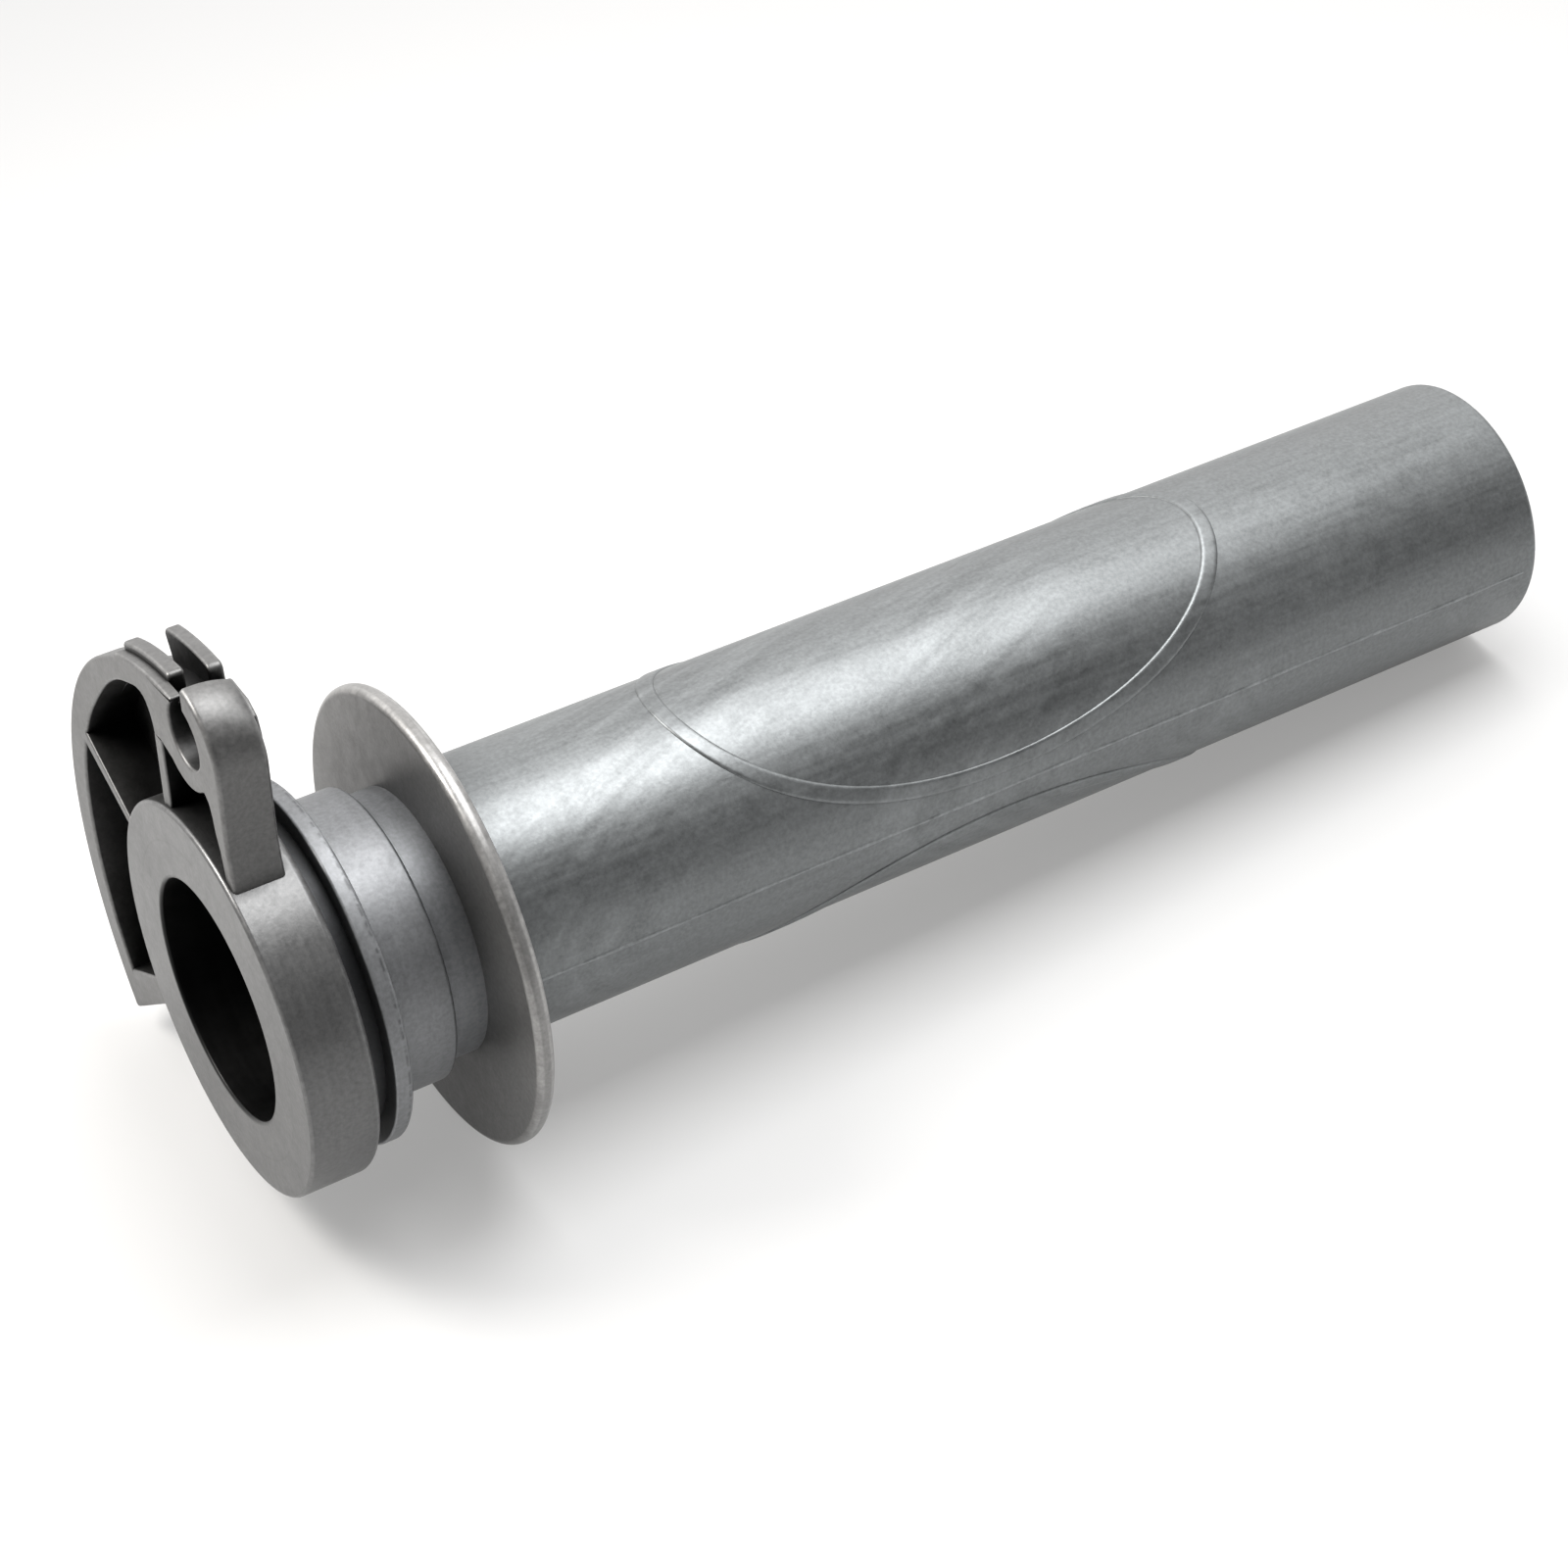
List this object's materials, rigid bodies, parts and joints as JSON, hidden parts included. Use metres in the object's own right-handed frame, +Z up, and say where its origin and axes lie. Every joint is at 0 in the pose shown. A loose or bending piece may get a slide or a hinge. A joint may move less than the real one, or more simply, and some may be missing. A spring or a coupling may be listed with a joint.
{
  "type": "throttle tube",
  "caption": "Twist-grip throttle tube with a cable drum, hooked cam, two journals, a grip flange and a long sleeve, in satin grey moulded plastic.",
  "frame": {"origin": "on the handlebar axis, at the outer face of the cable drum", "axes": "+X along the handlebar axis from the drum towards the free end of the sleeve, +Z up through the cable hook, +Y towards the cam"},
  "size_m": [0.1383, 0.053, 0.0561],
  "materials": {
    "drum_plastic": "satin metallic grey moulded plastic with fine turning marks and light scuffs",
    "sleeve_plastic": "satin metallic grey moulded plastic with fine lengthwise streaks"
  },
  "bodies": {
    "root": {"cable_guide_tab": "drum_plastic", "cable_hook": "drum_plastic", "cable_seat_front": "drum_plastic", "cable_seat_middle": "drum_plastic", "cable_seat_rear": "drum_plastic", "cam_back_web": "drum_plastic", "cam_end_web": "drum_plastic", "cam_front_wall": "drum_plastic", "cam_groove_floor": "drum_plastic", "cam_lower_spoke": "drum_plastic", "cam_upper_spoke": "drum_plastic", "drum_neck": "drum_plastic", "drum_ring": "drum_plastic", "front_journal": "drum_plastic", "grip_flange": "sleeve_plastic", "grip_sleeve": "sleeve_plastic", "oval_band_top": "sleeve_plastic", "oval_band_under": "sleeve_plastic", "parting_line_far": "sleeve_plastic", "parting_line_near": "sleeve_plastic", "rear_collar": "drum_plastic", "rear_journal": "drum_plastic"}
  },
  "joints": []
}
